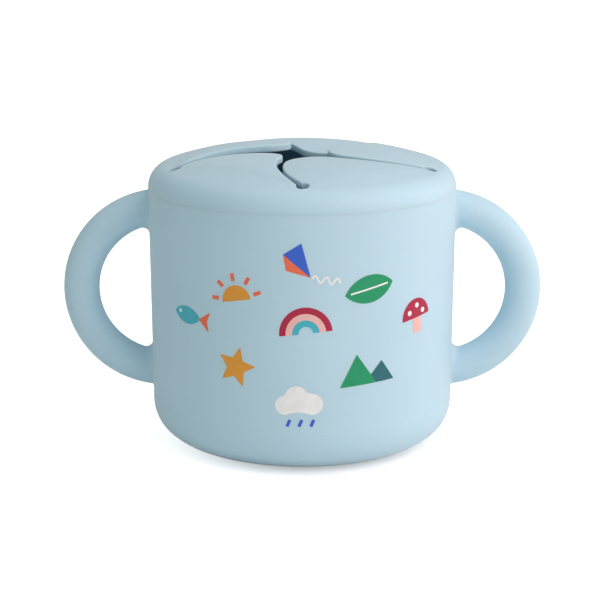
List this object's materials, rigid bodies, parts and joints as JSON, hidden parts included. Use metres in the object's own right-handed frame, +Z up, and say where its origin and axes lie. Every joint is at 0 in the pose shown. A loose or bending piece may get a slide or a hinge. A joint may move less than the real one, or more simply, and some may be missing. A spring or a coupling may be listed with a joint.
{
  "type": "toddler snack container",
  "caption": "Two-handled soft silicone cup for a toddler's snacks, with a push-in domed lid whose curved slits open into petal flaps.",
  "frame": {"origin": "centre of the underside, on the surface the cup stands on", "axes": "+Z up along the cup's axis, +X through the two handles, -Y towards the printed front"},
  "size_m": [0.1406, 0.09, 0.0875],
  "materials": {
    "cup_silicone": "matte pastel blue silicone",
    "lid_silicone": "matte pastel blue silicone"
  },
  "bodies": {
    "cup": {"cup_body": "cup_silicone"},
    "lid": {"lid_ring": "lid_silicone"},
    "front_right": {"flap_front_right": "lid_silicone"},
    "right": {"flap_right": "lid_silicone"},
    "back": {"flap_back": "lid_silicone"},
    "left": {"flap_left": "lid_silicone"},
    "front_left": {"flap_front_left": "lid_silicone"}
  },
  "joints": [
    {"name": "lid_lift", "type": "slide", "parent": "cup", "child": "lid", "axis": [0, 0, 1], "range_m": [0, 0.04]},
    {"name": "front_right_fold", "type": "hinge", "parent": "lid", "child": "front_right", "pos_m": [0.01643, -0.02261, 0.084], "axis": [0.809, 0.5878, 0], "range_deg": [-50, 45], "stiffness_Nm_per_rad": 0.03},
    {"name": "right_fold", "type": "hinge", "parent": "lid", "child": "right", "pos_m": [0.02658, 0.00864, 0.084], "axis": [-0.309, 0.9511, 0], "range_deg": [-50, 45], "stiffness_Nm_per_rad": 0.03},
    {"name": "back_fold", "type": "hinge", "parent": "lid", "child": "back", "pos_m": [0, 0.02795, 0.084], "axis": [-1, 0, 0], "range_deg": [-50, 45], "stiffness_Nm_per_rad": 0.03},
    {"name": "left_fold", "type": "hinge", "parent": "lid", "child": "left", "pos_m": [-0.02658, 0.00864, 0.084], "axis": [-0.309, -0.9511, 0], "range_deg": [-50, 45], "stiffness_Nm_per_rad": 0.03},
    {"name": "front_left_fold", "type": "hinge", "parent": "lid", "child": "front_left", "pos_m": [-0.01643, -0.02261, 0.084], "axis": [0.809, -0.5878, 0], "range_deg": [-50, 45], "stiffness_Nm_per_rad": 0.03}
  ]
}
